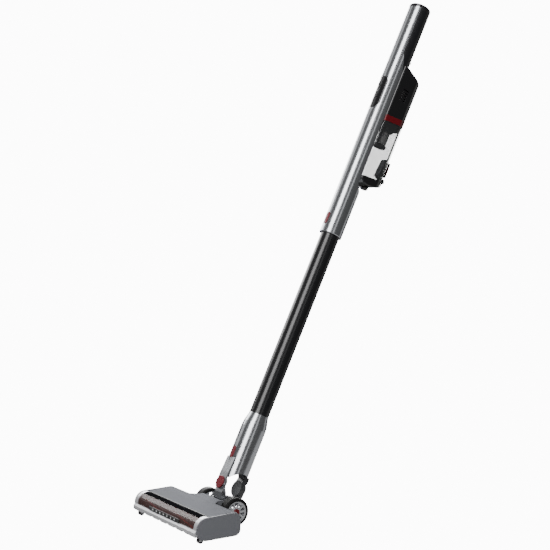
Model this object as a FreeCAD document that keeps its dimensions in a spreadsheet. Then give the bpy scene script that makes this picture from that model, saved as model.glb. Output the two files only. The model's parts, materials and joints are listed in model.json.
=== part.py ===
import FreeCAD, Part
import math
import os
import Sketcher
from FreeCAD import Placement, Rotation, Vector

# Cordless stick vacuum, in millimetres.
#
# Two frames carry every piece.  The stick frame has z up along the tube axis, y towards the
# underside, where the dust cup hangs, and x across.  The head frame is level: z up, the nose of
# the floor head towards -y.  Both are set out from the wheel axle, on which the stick pitches.
# The model's own origin is the middle of the hand grip, on the tube axis.

doc = FreeCAD.newDocument("StickVacuum")
sheet = doc.addObject("Spreadsheet::Sheet", "Dims")


class Size:
    """A length together with its formula in the sheet's aliases."""

    def __init__(self, value, formula):
        self.value = value
        self.formula = formula

    def join(self, other, sign, value):
        return Size(value, f"({self.formula} {sign} {sized(other).formula})")

    def __add__(self, other):
        return self.join(other, "+", self.value + sized(other).value)

    def __sub__(self, other):
        return self.join(other, "-", self.value - sized(other).value)

    def __mul__(self, other):
        return self.join(other, "*", self.value * sized(other).value)

    def __truediv__(self, other):
        return self.join(other, "/", self.value / sized(other).value)

    def __radd__(self, other):
        return sized(other) + self

    def __rsub__(self, other):
        return sized(other) - self

    def __neg__(self):
        return Size(-self.value, f"(-{self.formula})")


def sized(number):
    """A plain number as a Size, or the Size itself."""
    if isinstance(number, Size):
        return number
    return Size(float(number), repr(float(number)))


DRIVING = {
    # stance
    "lean": 25.8,  # the stick leans back from upright
    "gripReach": 1040.0,  # foot of the stick frame to the middle of the grip
    "pivotAhead": 4.0,  # the wheel axle lies this far in front of the tube axis
    "gap": 0.3,  # clearance between pieces that move past each other
    "fit": 0.05,  # radial running clearance
    # spine and handle
    "spineRadius": 23.4,
    "shellWall": 2.0,
    "spineLow": 628.0,
    "spineHigh": 1098.0,
    "handleTop": 1105.5,
    "seam": 1.2,  # the front shell's edge, behind the axis, along the spine
    "gripSeam": 11.4,  # and in front of the axis along the grip
    "gripLow": 952.0,
    "gripFoot": 990.0,
    "shoulderLow": 670.5,
    "shoulderHigh": 693.0,
    # control panel
    "panelMid": 893.5,
    "panelHalf": 36.5,
    "panelReach": 14.2,
    "panelSkin": 2.6,
    "recessRim": 2.4,
    "recessDepth": 0.8,
    "powerSpot": 912.0,
    "modeSpot": 884.0,
    "powerRadius": 5.6,
    "modeRadius": 4.6,
    "keyProud": 0.7,
    # motor housing and dust cup: an oblong section, flat in front and round behind
    "cupFront": 1.6,
    "cupHalf": 25.5,
    "cupBack": 39.0,
    "cupCorner": 5.0,
    "cupWall": 2.0,
    "tilt": 0.2,  # the joints rise this much for each millimetre towards the rear
    "lidLow": 700.0,
    "cupLow": 713.0,
    "cupHigh": 838.4,
    "collarHigh": 851.6,
    "housingTop": 971.0,
    "housingSlope": 0.33,
    "motorBack": 32.0,
    "motorRadius": 19.0,
    "motorLow": 887.0,
    "motorHigh": 923.0,
    "impellerRadius": 18.5,
    "shaftRadius": 2.5,
    "filterRadius": 9.6,
    "filterLow": 798.0,
    "filterHigh": 832.0,
    "lidHingeBack": 68.4,
    "lidHingeHeight": 729.0,
    "knuckleRadius": 3.0,
    "sliderLow": 741.0,
    "sliderHigh": 773.0,
    "inletLow": 738.0,
    "inletHigh": 758.0,
    # wand and couplings
    "wandRadius": 19.5,
    "wandWall": 1.5,
    "wandLow": 150.0,
    "wandHigh": 592.0,
    "collarLow": 575.0,
    "socketRadius": 17.3,
    "nozzleRadius": 17.0,
    "nozzleWall": 1.8,
    "couplingRadius": 24.7,
    "couplingSeam": 117.4,
    "couplingTop": 188.0,
    "buttonHalfWidth": 5.0,
    "upperButton": 604.0,
    "upperButtonHalf": 12.5,
    "lowerButton": 104.0,
    "lowerButtonHalf": 11.5,
    "buttonProud": 0.9,
    "buttonDepth": 3.2,
    "buttonTravel": 1.5,
    # neck, swivel and yoke
    "swivelHeight": 42.0,
    "windowRadius": 27.0,
    "windowBack": 4.0,
    "armFace": 26.0,
    "armThick": 3.2,
    "bossRadius": 13.0,
    "capRadius": 12.2,
    "pinRadius": 3.0,
    "ductRadius": 15.6,
    "ductFront": 13.4,
    "ductSplit": 19.8,
    "ductBack": 27.4,
    "barrelRadius": 16.0,
    "barrelHalf": 24.0,
    "axleRadius": 4.0,
    # floor head
    "wheelRadius": 27.0,
    "wheelInner": 36.7,
    "wheelOuter": 57.7,
    "rimRadius": 20.6,
    "headHalf": 120.0,
    "capThick": 3.0,
    "headFront": -122.8,
    "headRear": -31.0,
    "headLow": -22.6,
    "headHigh": 20.6,
    "coverFront": -93.0,
    "coverFrontHigh": 18.0,
    "coverWall": 2.2,
    "rearCorner": 14.0,
    "rearFoot": 12.0,
    "arcBack": -102.0,
    "arcHeight": -1.9,
    "arcRadius": 20.7,
    "windowSkin": 2.0,
    "frameInner": 107.0,
    "lipFront": -126.4,
    "lipBack": -119.6,
    "lipLow": -14.4,
    "lipHigh": -2.2,
    "brushBack": -100.5,
    "brushHeight": -6.5,
    "brushRadius": 17.5,
    "coreRadius": 11.0,
    "brushHalf": 104.0,
    "neckHalf": 35.4,
    "earInner": 25.6,
    "earOuter": 34.0,
    "recessRadius": 24.6,
    "rollerRadius": 5.5,
    "rollerBack": -112.0,
    "beltMid": -110.0,
    "brushPulley": 8.0,
    "motorPulley": 4.0,
    "brushMotorBack": -58.0,
    "brushMotorHeight": -6.5,
    "brushMotorRadius": 12.0,
}


class Dims:
    """Every driving size as an attribute, bound to its cell of the sheet."""


d = Dims()
for row, (alias, number) in enumerate(DRIVING.items(), start=1):
    sheet.set(f"A{row}", alias)
    sheet.set(f"B{row}", str(number))
    sheet.setAlias(f"B{row}", alias)
    setattr(d, alias, Size(number, f"Dims.{alias}"))
doc.recompute()

ROLES = {"XY": "XY_Plane", "XZ": "XZ_Plane", "YZ": "YZ_Plane"}
nodes = {}


# ---- helpers ----------------------------------------------------------------


def bind(thing, prop, size):
    """Give a property its size, as a formula of the sheet where it has one."""
    thing.setExpression(prop, sized(size).formula)


def shift(thing, at):
    """Place an object at a point (x, y, z) of its frame."""
    thing.Placement.Base = Vector(*[sized(value).value for value in at])
    for axis, value in zip("xyz", at):
        if isinstance(value, Size):
            bind(thing, f"Placement.Base.{axis}", value)


def newBody(name):
    return doc.addObject("PartDesign::Body", name)


def newSketch(body, plane, name, offset=0):
    """A sketch on one of the body's own origin planes, raised by an offset."""
    sketch = body.newObject("Sketcher::SketchObject", name)
    origin = [item for item in body.Origin.OriginFeatures if item.Role == ROLES[plane]][0]
    sketch.AttachmentSupport = [(origin, "")]
    sketch.MapMode = "FlatFace"
    sketch.AttachmentOffset = Placement(Vector(0, 0, sized(offset).value), Rotation())
    bind(sketch, "AttachmentOffset.Base.z", offset)
    return sketch


def setSpot(sketch, geometry, end, point, name):
    """Fix one end of a sketch element at a point (u, v) of sizes."""
    for kind, value, axis in zip(("DistanceX", "DistanceY"), point, "UV"):
        value = sized(value)
        index = sketch.addConstraint(
            Sketcher.Constraint(kind, -1, 1, geometry, end, value.value)
        )
        sketch.renameConstraint(index, name + axis)
        bind(sketch, f"Constraints.{name}{axis}", value)


def drawOutline(sketch, corners):
    """A closed outline of straight lines through corners (u, v)."""
    spots = [Vector(sized(u).value, sized(v).value, 0) for u, v in corners]
    for index, spot in enumerate(spots):
        sketch.addGeometry(Part.LineSegment(spot, spots[(index + 1) % len(spots)]), False)
    for index, corner in enumerate(corners):
        before = (index - 1) % len(corners)
        sketch.addConstraint(Sketcher.Constraint("Coincident", before, 2, index, 1))
        setSpot(sketch, index, 1, corner, f"corner{index}")


def pad(body, sketch, length):
    feature = body.newObject("PartDesign::Pad", body.Name + "Pad")
    feature.Profile = sketch
    bind(feature, "Length", length)
    doc.recompute()
    return feature


def soften(body, feature, edges, radius):
    """Round the named edges of a body's last feature."""
    fillet = body.newObject("PartDesign::Fillet", body.Name + "Fillet")
    fillet.Base = (feature, edges)
    bind(fillet, "Radius", radius)
    doc.recompute()
    return fillet


def cornerEdges(shape, plane, corner):
    """Names of the edges that stand on the sketch plane at a corner (u, v)."""
    axes = {"XY": (0, 1), "XZ": (0, 2), "YZ": (1, 2)}[plane]
    found = []
    for number, edge in enumerate(shape.Edges, start=1):
        ends = [vertex.Point for vertex in edge.Vertexes]
        near = [
            abs(end[axis] - sized(value).value) < 0.01
            for end in ends
            for axis, value in zip(axes, corner)
        ]
        if len(ends) == 2 and all(near):
            found.append(f"Edge{number}")
    return found


def prism(name, plane, corners, low, high, rounds=()):
    """An outline on a plane, extruded from low to high along the plane's axis.

    rounds lists (corner numbers, radius) pairs for the edges to round.
    """
    body = newBody(name)
    start = -sized(high) if plane == "XZ" else low
    sketch = newSketch(body, plane, name + "Outline", start)
    drawOutline(sketch, corners)
    feature = pad(body, sketch, sized(high) - low)
    for numbers, radius in rounds:
        edges = []
        for number in numbers:
            edges += cornerEdges(feature.Shape, plane, corners[number])
        feature = soften(body, feature, edges, radius)
    return body


def turned(name, corners, axis="Z", at=(0, 0, 0)):
    """An outline of (radius, height) corners turned about an axis through a point."""
    body = newBody(name)
    if axis == "Z":
        sketch = newSketch(body, "XZ", name + "Outline")
        drawOutline(sketch, corners)
    else:
        sketch = newSketch(body, {"X": "XZ", "Y": "YZ"}[axis], name + "Outline")
        drawOutline(sketch, [(height, radius) for radius, height in corners])
    feature = body.newObject("PartDesign::Revolution", name + "Turn")
    feature.Profile = sketch
    feature.ReferenceAxis = (sketch, ["V_Axis" if axis == "Z" else "H_Axis"])
    feature.Angle = 360
    shift(body, at)
    doc.recompute()
    return body


def ring(name, outer, inner, low, high, axis="Z", at=(0, 0, 0)):
    corners = [(inner, low), (outer, low), (outer, high), (inner, high)]
    return turned(name, corners, axis, at)


def block(name, x, y, z):
    """A box between (low, high) pairs."""
    thing = doc.addObject("Part::Box", name)
    for prop, (low, high) in zip(("Length", "Width", "Height"), (x, y, z)):
        bind(thing, prop, sized(high) - low)
    shift(thing, (x[0], y[0], z[0]))
    return thing


def rod(name, axis, radius, low, high, at=(0, 0)):
    """A cylinder along an axis; at gives its centre in the other two axes, in order."""
    thing = doc.addObject("Part::Cylinder", name)
    bind(thing, "Radius", radius)
    bind(thing, "Height", sized(high) - low)
    turns = {
        "X": Rotation(Vector(0, 1, 0), 90),
        "Y": Rotation(Vector(1, 0, 0), -90),
        "Z": Rotation(),
    }
    spots = {"X": (low, *at), "Y": (at[0], low, at[1]), "Z": (*at, low)}
    thing.Placement = Placement(Vector(), turns[axis])
    shift(thing, spots[axis])
    return thing


def combine(kind, name, base, tools):
    for number, tool in enumerate(tools, start=1):
        joined = doc.addObject(kind, f"{name}{number}")
        joined.Base = base
        joined.Tool = tool
        base = joined
    base.Refine = True
    doc.recompute()
    return base


def cut(name, base, *tools):
    return combine("Part::Cut", name + "Cut", base, tools)


def fuse(name, base, *tools):
    return combine("Part::Fuse", name + "Fuse", base, tools)


def common(name, base, tool):
    return combine("Part::Common", name + "Common", base, [tool])


def stadium(name, halfWide, mid, halfLong, low, high):
    """A plate with round ends, long in z, cut through in y from low to high."""
    reach = sized(halfLong) - halfWide
    parts = [rod(f"{name}Top", "Y", halfWide, low, high, (0, mid + reach))]
    parts.append(rod(f"{name}Foot", "Y", halfWide, low, high, (0, mid - reach)))
    plate = block(f"{name}Plate", (-sized(halfWide), halfWide), (low, high),
                  (mid - reach, mid + reach))
    return fuse(name, plate, *parts)


def oblong(name, inset, low, high):
    """The housing's section drawn in by an inset, between two levels."""
    half = d.cupHalf - inset
    corner = d.cupCorner - inset
    front = d.cupFront + inset
    pieces = [rod(name + "Rear", "Z", half, low, high, (0, d.cupBack))]
    pieces.append(block(name + "Front", (-half + corner, half - corner),
                        (front, front + corner + 1), (low, high)))
    for side in (-1, 1):
        pieces.append(rod(f"{name}Corner{side}", "Z", corner, low, high,
                          ((half - corner) * side, front + corner)))
    middle = block(name + "Middle", (-half, half), (front + corner, d.cupBack), (low, high))
    return fuse(name, middle, *pieces)


def tilted(name, inset, low, high):
    """The same section between two joint planes that rise towards the rear."""
    band = prism(name + "Band", "YZ", [
        (-5, low - d.tilt * 5), (80, low + d.tilt * 80),
        (80, high + d.tilt * 80), (-5, high - d.tilt * 5)], -40, 40)
    return common(name, oblong(name, inset, low - 10, high + 30), band)


def roundOff(name, base, radius, pick):
    """Round the edges of a solid that pick accepts."""
    doc.recompute()
    fillet = doc.addObject("Part::Fillet", name + "Fillet")
    fillet.Base = base
    size = sized(radius).value
    chosen = [number for number, edge in enumerate(base.Shape.Edges, start=1) if pick(edge)]
    fillet.Edges = [(number, size, size) for number in chosen]
    doc.recompute()
    return fillet


lean = math.radians(d.lean.value)
along = Vector(0, math.sin(lean), math.cos(lean))  # up the stick
under = Vector(0, math.cos(lean), -math.sin(lean))  # towards the underside
stickBase = along * -d.gripReach.value
stickFrame = Placement(stickBase, Rotation(Vector(1, 0, 0), -d.lean.value))
headFrame = Placement(stickBase - under * d.pivotAhead.value, Rotation())


def keep(label, thing, frame):
    """Name a finished piece, set it in its frame and list it for export."""
    thing.Label = label
    own = thing.Placement
    for path, formula in list(thing.ExpressionEngine):
        if "Placement" in path:
            thing.setExpression(path, None)
    thing.Placement = frame.multiply(own)
    nodes[label] = thing
    return thing


# ---- handheld unit: spine, grip, battery and controls -------------------------

boreRadius = d.spineRadius - d.shellWall
past = 1.0  # cutters run past what they cut by this much
farSide = d.spineRadius + past


def makeSpine():
    seam = [
        (-farSide, d.spineLow),
        (d.seam, d.spineLow),
        (d.seam, d.gripLow),
        (-d.gripSeam, d.gripFoot),
        (-d.gripSeam, d.spineHigh),
        (-farSide, d.spineHigh),
    ]
    tube = ring("FrontTube", d.spineRadius, boreRadius, d.spineLow, d.spineHigh)
    front = common("FrontShell", tube, prism("FrontHalf", "YZ", seam, -farSide, farSide))
    hole = stadium("PanelHole", d.panelReach + d.gap, d.panelMid, d.panelHalf + d.gap,
                   -farSide, -d.gripSeam)
    scoop = stadium("Scoop", d.panelReach + d.recessRim, d.panelMid,
                    d.panelHalf + d.recessRim * 2, -farSide, -d.gripSeam)
    skin = ring("ScoopSkin", farSide, d.spineRadius - d.recessDepth, d.gripLow - 180,
                d.gripLow)
    front = cut("FrontShellOpen", front, hole, common("Scooped", scoop, skin))
    keep("front_shell", front, stickFrame)

    wall = d.shellWall
    outer = common("RearOuter",
                   rod("RearRod", "Z", d.spineRadius, d.spineLow, d.shoulderHigh),
                   prism("RearHalf", "YZ", [
                       (d.seam, d.spineLow), (farSide, d.spineLow), (farSide, d.shoulderLow),
                       (d.seam, d.shoulderHigh)], -farSide, farSide))
    inner = common("RearInner",
                   rod("RearBore", "Z", boreRadius, d.spineLow - past, d.shoulderHigh),
                   prism("RearHollow", "YZ", [
                       (d.seam - past, d.spineLow - past), (farSide, d.spineLow - past),
                       (farSide, d.shoulderLow - wall),
                       (d.seam - past, d.shoulderHigh - wall)], -farSide, farSide))
    reach = boreRadius - 0.2
    plate = block("SpineBack", (-reach, reach), (d.seam - wall, d.seam),
                  (d.shoulderHigh - 4, d.gripLow))
    port = block("RearPort", (-11, 11), (d.seam - wall - past, d.seam + past),
                 (d.inletLow, d.inletHigh))
    rear = cut("RearShell", fuse("RearBlank", cut("RearLow", outer, inner), plate), port)
    keep("rear_shell", rear, stickFrame)


def makeGrip():
    high = d.spineHigh
    back = [
        (d.seam, d.gripLow),
        (farSide, d.gripLow),
        (farSide, high),
        (-d.gripSeam, high),
        (-d.gripSeam, d.gripFoot),
    ]
    tube = ring("GripTube", d.spineRadius, boreRadius, d.gripLow, high)
    shell = common("GripShell", tube, prism("GripHalf", "YZ", back, -farSide, farSide))
    screws = [rod(f"GripScrewHole{n}", "Y", 2.6, 15, farSide, (0, spot))
              for n, spot in enumerate(screwSpots)]
    ridge = rod("FingerRidge", "X", 3.6, -9, 9, (d.spineRadius - 1.4, d.gripFoot - 5))
    ridge = roundOff("Ridge", ridge, 3, lambda edge: edge.BoundBox.XLength < 0.01)
    ridge = cut("RidgeFoot", ridge, rod("RidgeBore", "Z", boreRadius, d.gripLow, high))
    shell = fuse("GripRidge", cut("GripOpen", shell, *screws), ridge)
    keep("grip_shell", shell, stickFrame)

    heads = [rod(f"GripScrew{n}", "Y", 2.5, boreRadius - 1, d.spineRadius - 1.4, (0, spot))
             for n, spot in enumerate(screwSpots)]
    keep("shell_screws", fuse("ShellScrews", heads[0], *heads[1:]), stickFrame)

    low = d.spineHigh + 0.2
    rim = d.spineRadius
    cap = turned("EndCap", [(0, low), (rim, low), (rim, d.handleTop - 2.4),
                            (rim - 0.8, d.handleTop - 0.8), (rim - 2.4, d.handleTop),
                            (0, d.handleTop)])
    keep("handle_end_cap", cut("EndCapOpen", cap, rod("JackHole", "Z", 4.05, low - past,
                                                      d.handleTop + past)), stickFrame)
    jack = cut("Jack", rod("JackBody", "Z", 4.0, low - 3, d.handleTop - 0.3),
               rod("JackBore", "Z", 2.75, d.handleTop - 9.3, d.handleTop + past))
    keep("charging_socket", jack, stickFrame)


screwSpots = (d.gripFoot + 22, d.spineHigh - 14)


def makeBattery():
    """Six round cells, three abreast in two rows."""
    cellRadius, cellLong, spread = 9.2, 65.0, 10.65
    cells = []
    for stack in range(2):
        low = d.gripLow + 8.5 + (cellLong + 1.0) * stack
        for turn in range(3):
            angle = math.radians(90 + 120 * turn)
            spot = (spread * math.cos(angle), spread * math.sin(angle))
            cells.append(rod(f"Cell{stack}{turn}", "Z", cellRadius, low, low + cellLong, spot))
    keep("battery_cells", fuse("Cells", cells[0], *cells[1:]), stickFrame)


def makePanel():
    face = d.spineRadius - 0.2
    plate = stadium("Panel", d.panelReach, d.panelMid, d.panelHalf, -farSide, -d.gripSeam)
    plate = common("PanelSkin", plate, ring("PanelFace", face, d.spineRadius - d.panelSkin,
                                            d.panelMid - 60, d.panelMid + 60))
    keys = {"power_button": (d.powerRadius, d.powerSpot),
            "mode_button": (d.modeRadius, d.modeSpot)}
    holes = []
    for label, (radius, spot) in keys.items():
        holes.append(rod(label + "Hole", "Y", radius + d.gap, -farSide, -15, (0, spot)))
        key = rod(label + "Key", "Y", radius, -(face + d.keyProud), -(face - 2.4), (0, spot))
        keep(label, roundOff(label, key, 0.4, lambda edge: edge.BoundBox.YMax < -face.value),
             stickFrame)
    keep("display_panel", cut("PanelOpen", plate, *holes), stickFrame)
    board = block("Board", (-8.5, 8.5), (-18.6, -17.0), (d.panelMid - 42, d.panelMid + 40))
    keep("control_board", board, stickFrame)


def makeIntake():
    radius, wall = d.nozzleRadius, d.nozzleWall
    low = d.collarLow + 20
    nozzle = turned("Nozzle", [
        (radius - wall, low), (radius - 0.6, low), (radius, low + 2),
        (radius, d.spineLow + 2), (boreRadius - 0.2, d.spineLow + 2),
        (boreRadius - 0.2, d.spineLow + 8), (radius - wall, d.spineLow + 8)])
    high = d.inletHigh + 4
    back = d.seam - d.shellWall - 0.1
    outer = block("DuctOuter", (-13, 13), (-16, back), (d.spineLow + 8, high))
    inner = block("DuctInner", (-11.5, 11.5), (-14.5, back - 1.5), (d.spineLow, high - 1.5))
    port = block("DuctPort", (-11, 11), (-4, 2), (d.inletLow, d.inletHigh))
    duct = cut("Duct", outer, inner, port)
    keep("intake_duct", fuse("IntakeDuct", nozzle, duct), stickFrame)


# ---- motor housing --------------------------------------------------------------


def makeHousing():
    def half(name, inset, low):
        front, rear = d.cupFront - 5, d.cupBack + d.cupHalf + 5
        top = d.housingTop - inset
        line = [
            (front, low + d.tilt * front),
            (rear, low + d.tilt * rear),
            (rear, top - d.housingSlope * rear),
            (front, top - d.housingSlope * front),
        ]
        shape = prism(name + "Side", "YZ", line, -40, 40)
        return common(name, oblong(name, inset, low - 10, top + 10), shape)

    wall = 2.2
    outer = half("HousingOuter", 0, d.collarHigh)
    topEdges = roundOff("Housing", outer, 3.5, lambda edge: edge.CenterOfMass.z > 935
                        and edge.BoundBox.ZLength < 25)
    handle = rod("HandleSpace", "Z", d.spineRadius + 0.15, d.gripLow, d.housingTop + 20)
    slots = [block(f"Vent{side}{n}", (d.cupHalf * side - 4, d.cupHalf * side + 4), (19, 34),
                   (d.motorLow + 8 + 6 * n, d.motorLow + 10.4 + 6 * n))
             for side in (-1, 1) for n in range(5)]
    shell = cut("Housing", topEdges, half("HousingInner", wall, d.collarHigh - 1), handle,
                *slots)
    keep("motor_housing", shell, stickFrame)
    collar = cut("Collar", tilted("CollarOuter", 0, d.cupHigh + d.gap, d.collarHigh - 0.1),
                 oblong("CollarInner", 3.6, d.cupHigh - 10, d.collarHigh + 30))
    keep("collar_ring", collar, stickFrame)

    can = turned("Motor", [
        (d.shaftRadius + d.fit, d.motorLow), (d.motorRadius, d.motorLow),
        (d.motorRadius, d.motorHigh), (13, d.motorHigh), (13, d.motorHigh + 4),
        (d.shaftRadius + d.fit, d.motorHigh + 4)], at=(0, d.motorBack, 0))
    keep("suction_motor", can, stickFrame)
    keep("exhaust_filter", ring("ExhaustFilter", 20.5, 3, d.motorHigh + 5, d.motorHigh + 11,
                                at=(0, d.motorBack, 0)), stickFrame)
    makeImpeller()


def makeImpeller():
    """A disc with curved-back vanes on the motor's shaft."""
    low = d.motorLow - 12
    body = turned("Impeller", [
        (0, low - 2), (d.shaftRadius, low - 2), (6, low), (6, low + 9),
        (d.impellerRadius, low + 9), (d.impellerRadius, low + 11), (d.shaftRadius, low + 11),
        (d.shaftRadius, d.motorLow + 20), (0, d.motorLow + 20)])
    sketch = newSketch(body, "XY", "VaneOutline", low + 1)
    drawOutline(sketch, [(5, -0.6), (17.5, 5.4), (17.5, 6.6), (5, 0.6)])
    vane = pad(body, sketch, 8.5)
    fan = body.newObject("PartDesign::PolarPattern", "Vanes")
    fan.Originals = [vane]
    fan.Axis = (sketch, ["N_Axis"])
    fan.Angle = 360
    fan.Occurrences = 9
    body.Tip = fan
    shift(body, (0, d.motorBack, 0))
    doc.recompute()
    keep("impeller", body, stickFrame)


# ---- dust cup --------------------------------------------------------------------


def makeCup():
    wall = d.cupWall
    cup = cut("CupWall", tilted("CupOuter", 0, d.cupLow, d.cupHigh),
              oblong("CupInner", wall, d.cupLow - 20, d.cupHigh + 40))
    port = block("CupPort", (-10, 10), (0, 12), (d.inletLow + 1, d.inletHigh - 1))
    keep("dust_cup", cut("Cup", cup, port), stickFrame)
    low, high = d.cupHigh - 10.5, d.cupHigh - 1
    seal = cut("CupSeal", tilted("SealOuter", wall + 0.05, low + 3, high),
               oblong("SealInner", wall + 2, low - 20, high + 40))
    keep("cup_seal", seal, stickFrame)

    at = (0, d.motorBack, 0)
    cage = d.filterRadius + 0.2
    flange = cut("Flange", tilted("FlangeBody", wall + 2.05, low, high),
                 rod("FlangeHole", "Z", cage - 3, low - 20, high + 40, (0, d.motorBack)),
                 rod("FilterSpace", "Z", cage, low - 20, d.filterHigh + 0.1, (0, d.motorBack)))
    cone = turned("Cone", [(cage, d.filterHigh - 6), (cage + 1.8, d.filterHigh - 6),
                           (17, d.filterHigh), (17, d.filterHigh + 4),
                           (cage, d.filterHigh + 4)], at=at)
    foot = turned("CageFoot", [(0, d.filterLow - 5), (13, d.filterLow - 5),
                               (14, d.filterLow - 4), (14, d.filterLow - 1),
                               (cage + 1.9, d.filterLow - 0.1), (0, d.filterLow - 0.1)], at=at)
    basket = ring("Basket", cage + 1.8, cage, d.filterLow - 0.5, d.filterHigh - 5, at=at)
    bars = [common(f"CageBar{side}", basket,
                   block(f"CageSide{side}", (-width, width),
                         (d.motorBack + low_y, d.motorBack + high_y),
                         (d.filterLow - 5, d.filterHigh)))
            for side, width, low_y, high_y in (("Front", 5, -20, 0), ("Rear", 8, 0, 20))]
    keep("filter_frame", fuse("FilterFrame", flange, cone, foot, *bars), stickFrame)
    keep("filter_element", ring("Filter", d.filterRadius, 5, d.filterLow, d.filterHigh, at=at),
         stickFrame)
    guide = common("Guide", oblong("GuideSpace", wall + 0.02, d.cupLow - 5, d.cupHigh),
                   prism("GuideSide", "YZ", [
                       (52, d.inletLow), (66, d.inletLow - 5), (66, d.inletLow + 6),
                       (57.5, d.inletLow + 12), (57, d.inletLow + 38),
                       (55.4, d.inletLow + 38)], -8, 8))
    keep("air_guide", guide, stickFrame)
    makeBracket()
    makeLid()


def makeBracket():
    """Rail and hinge bracket on the outside of the cup, with the cup's release slider."""
    back = d.cupBack
    radius = d.cupHalf
    rear = back + radius + 4
    hinge = (d.lidHingeBack, d.lidHingeHeight)
    sleeve = ring("BracketSleeve", radius + 1.2, radius + 0.05, d.lidHingeHeight - 2,
                  d.sliderHigh + 1, at=(0, back, 0))
    pieces = [common("BracketPlate", sleeve, block("BracketCut", (-9, 9), (back + 15, rear),
                                                   (d.cupLow, d.cupHigh)))]
    strip = ring("RailSleeve", radius + 1.2, radius + 0.05, d.sliderHigh, d.cupHigh + 11,
                 at=(0, back, 0))
    pieces.append(common("Rail", strip, block("RailCut", (-2, 2), (back + 15, rear),
                                              (d.cupLow, d.cupHigh + 20))))
    for side in (-1, 1):
        low, high = (5.4, 9) if side > 0 else (-9, -5.4)
        pieces.append(rod(f"CupKnuckle{side}", "X", d.knuckleRadius, low, high, hinge))
        pieces.append(block(f"CupWeb{side}", (low, high),
                            (back + radius - 2.2, d.lidHingeBack + 1.6),
                            (d.lidHingeHeight, d.lidHingeHeight + 6)))
    pin = rod("HingePinHole", "X", 1.25 + d.fit, -12, 12, hinge)
    linkSpace = block("LinkSpace", (-5.4, 5.4), (back + radius, rear + 4),
                      (d.cupLow, d.lidHingeHeight + 3.6))
    bracket = cut("Bracket", fuse("BracketBlank", *pieces), pin, linkSpace,
                  oblong("CupSpace", -0.04, d.cupLow - 20, d.cupHigh + 40))
    keep("cup_bracket", bracket, stickFrame)
    keep("lid_hinge_pin", rod("HingePin", "X", 1.25, -8.9, 8.9, hinge), stickFrame)

    low, high = d.sliderLow, d.sliderHigh
    front = back + radius + 1.5
    slider = block("Slider", (-8, 8), (front, front + 4.2), (low, high))
    slider = roundOff("Slider", slider, 1.4, lambda edge: edge.BoundBox.YLength > 1)
    slot = block("SliderSlot", (-9, 9), (front + 1.1, front + 3.1), (low + 6, high - 8))
    keep("release_slider", cut("SliderOpen", slider, slot), stickFrame)
    inlay = block("Inlay", (-8.1, 8.1), (front + 1.15, front + 3.05), (low + 6.05, high - 8.05))
    keep("release_inlay", inlay, stickFrame)


def makeLid():
    rear = d.cupBack + d.cupHalf
    high = d.cupLow - 0.4
    hinge = (d.lidHingeBack, d.lidHingeHeight)
    low = d.lidLow
    side = prism("LidSide", "YZ", [
        (0, high), (rear + 5, high + d.tilt * (rear + 5)), (rear + 5, low + 22),
        (rear - 4, low + 14), (rear - 22, low + 4), (24, low), (12, low + 0.6), (0, low + 9)], -40, 40)
    bowl = common("LidBowl", oblong("LidBody", 0.2, low - 5, high + 30), side)
    bowl = roundOff("LidBowlSoft", bowl, 2.5, lambda edge: edge.CenterOfMass.z < high.value - 2
                    and edge.BoundBox.ZLength < 7)
    knob = turned("LidKnob", [(0, low + 4), (9, low + 4), (9, low - 1), (7.4, low - 3.4),
                              (4, low - 4.6), (0, low - 4.6)], at=(0, 34, 0))
    knuckle = rod("LidKnuckle", "X", d.knuckleRadius, -5, 5, hinge)
    link = prism("LidLink", "YZ", [
        (rear - 4, low + 16), (rear - 0.5, low + 15), (rear + 3.4, low + 18),
        (d.lidHingeBack + 2.4, d.lidHingeHeight), (d.lidHingeBack, d.lidHingeHeight),
        (rear + 1.6, d.lidHingeHeight - 1), (rear + 1.6, high + d.tilt * rear),
        (rear - 4, high + d.tilt * rear - 2)], -5, 5)
    pin = rod("LidPinHole", "X", 1.25 + d.fit, -7, 7, hinge)
    keep("cup_lid", cut("Lid", fuse("LidBlank", bowl, knob, knuckle, link), pin), stickFrame)


# ---- wand ------------------------------------------------------------------------


def makeWand():
    keep("wand_tube", ring("Wand", d.wandRadius, d.wandRadius - d.wandWall, d.wandLow,
                           d.wandHigh), stickFrame)
    seat = d.wandRadius + 0.05
    rim, high = d.spineRadius, d.spineLow - d.gap
    upper = turned("UpperCollar", [
        (seat, d.collarLow), (rim - 1, d.collarLow), (rim, d.collarLow + 1), (rim, high),
        (d.socketRadius, high), (d.socketRadius, d.wandHigh + 0.2), (seat, d.wandHigh + 0.2)])
    keep("wand_upper_collar", cut("UpperCollarOpen", upper, *pocket("Upper", rim,
         d.upperButton, d.upperButtonHalf)), stickFrame)
    wide, low = d.couplingRadius, d.couplingSeam + d.gap
    lower = turned("LowerCollar", [
        (d.socketRadius, low), (wide, low), (wide, low + 42), (wide - 0.9, low + 52),
        (wide - 3, low + 61), (wide - 4.6, d.couplingTop - 3), (seat, d.couplingTop),
        (seat, d.wandLow - 0.2), (d.socketRadius, d.wandLow - 0.2)])
    keep("wand_lower_collar", lower, stickFrame)
    keep("wand_release_button", button("UpperButton", rim, d.upperButton, d.upperButtonHalf),
         stickFrame)


def button(name, rim, mid, half):
    """An oval release button standing a little proud of a round collar."""
    outer = rim + d.buttonProud
    shape = stadium(name, d.buttonHalfWidth, mid, half, -outer - past,
                    -(outer - d.buttonDepth))
    return common(name + "Face", shape, rod(name + "Rim", "Z", outer, mid - 30, mid + 30))


def pocket(name, rim, mid, half):
    """The hole in a collar in which a release button slides."""
    depth = rim - d.buttonDepth - d.buttonTravel + 0.4
    return [stadium(name + "Pocket", d.buttonHalfWidth + d.gap, mid, half + d.gap,
                    -rim - past, -depth)]


# ---- neck, swivel and yoke ---------------------------------------------------------


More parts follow.
